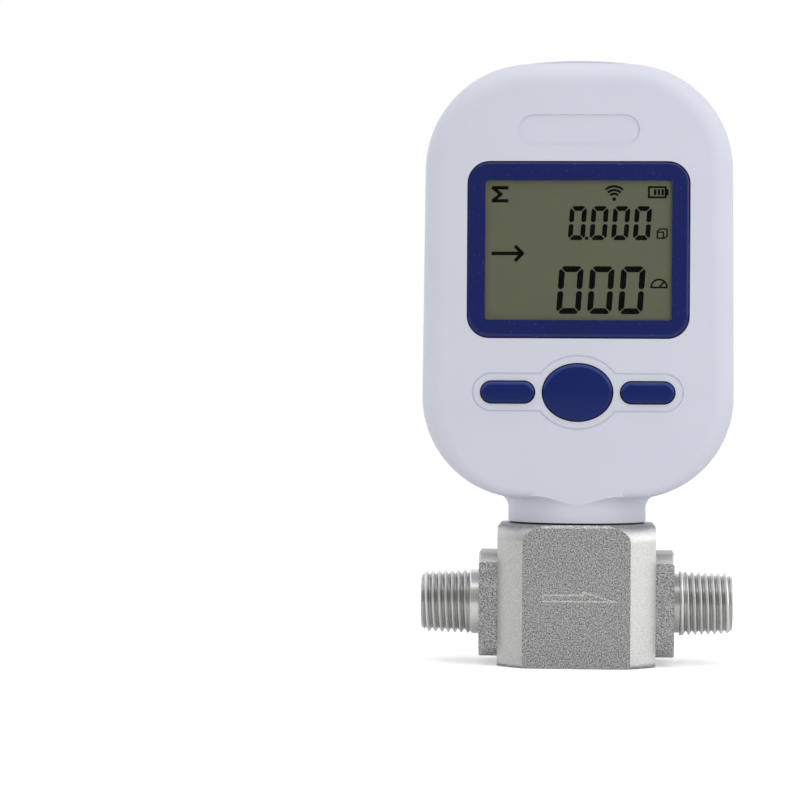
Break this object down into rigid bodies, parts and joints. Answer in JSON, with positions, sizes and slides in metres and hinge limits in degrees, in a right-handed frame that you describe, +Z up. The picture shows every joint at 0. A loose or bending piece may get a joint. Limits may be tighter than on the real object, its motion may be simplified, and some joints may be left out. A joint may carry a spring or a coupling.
{
  "type": "gas mass flow meter",
  "caption": "Gas mass flow meter: metal flow body with threaded pipe ends, round neck and upright plastic head with a display window and push keys.",
  "frame": {"origin": "centre of the metal body's underside", "axes": "+X along the flow from inlet to outlet, +Z up through the neck and head, -Y towards the display side"},
  "size_m": [0.0678, 0.0351, 0.132],
  "materials": {
    "blasted_steel": "bead-blasted stainless steel",
    "screw_steel": "plain stainless steel",
    "ring_aluminium": "turned",
    "grey_plastic": "fine satin moulding",
    "window_pane": "clear acrylic with a printed border",
    "lcd_glass": "display glass",
    "white_plastic": "light-guide acrylic",
    "dark_plastic": "moulded",
    "circuit_board": "solder mask",
    "grey_silicone": "moulded silicone",
    "key_blue": "satin moulding",
    "black_rubber": "moulded",
    "black_cable": "jacketed",
    "red_cable": "jacketed",
    "carrier_plastic": "machined",
    "cell_jacket": "plain jacket",
    "nickel_strip": "nickel plated",
    "film_antenna": "printed film"
  },
  "bodies": {
    "housing": {"flow_body": "blasted_steel", "inlet_fitting": "blasted_steel", "outlet_fitting": "blasted_steel", "fitting_screws": "screw_steel", "inlet_o_ring": "black_rubber", "outlet_o_ring": "black_rubber", "inlet_screen": "screw_steel", "outlet_screen": "screw_steel", "sensor_carrier": "carrier_plastic", "sensor_o_ring": "black_rubber", "sensor_board": "circuit_board", "sensor_harness": "black_cable", "neck_ring": "ring_aluminium", "neck_ring_screws": "screw_steel", "neck_gasket": "black_rubber", "front_shell": "grey_plastic", "rear_shell": "grey_plastic", "shell_seal": "black_rubber", "shell_screws": "screw_steel", "display_window": "window_pane", "lcd_panel": "lcd_glass", "light_guide": "white_plastic", "lcd_frame": "dark_plastic", "main_board": "circuit_board", "board_screws": "screw_steel", "keypad_mat": "grey_silicone", "battery_cover": "grey_plastic", "cover_screw": "screw_steel", "batteries": "cell_jacket", "lower_contact": "nickel_strip", "upper_contacts": "nickel_strip", "battery_leads": "red_cable", "antenna": "film_antenna"},
    "left_key": {"key_left": "key_blue"},
    "center_key": {"key_center": "key_blue"},
    "right_key": {"key_right": "key_blue"}
  },
  "joints": [
    {"name": "left_key_press", "type": "slide", "parent": "housing", "child": "left_key", "axis": [0, 1, 0], "range_m": [0, 0.0008], "stiffness_N_per_m": 800},
    {"name": "center_key_press", "type": "slide", "parent": "housing", "child": "center_key", "axis": [0, 1, 0], "range_m": [0, 0.0008], "stiffness_N_per_m": 800},
    {"name": "right_key_press", "type": "slide", "parent": "housing", "child": "right_key", "axis": [0, 1, 0], "range_m": [0, 0.0008], "stiffness_N_per_m": 800}
  ]
}
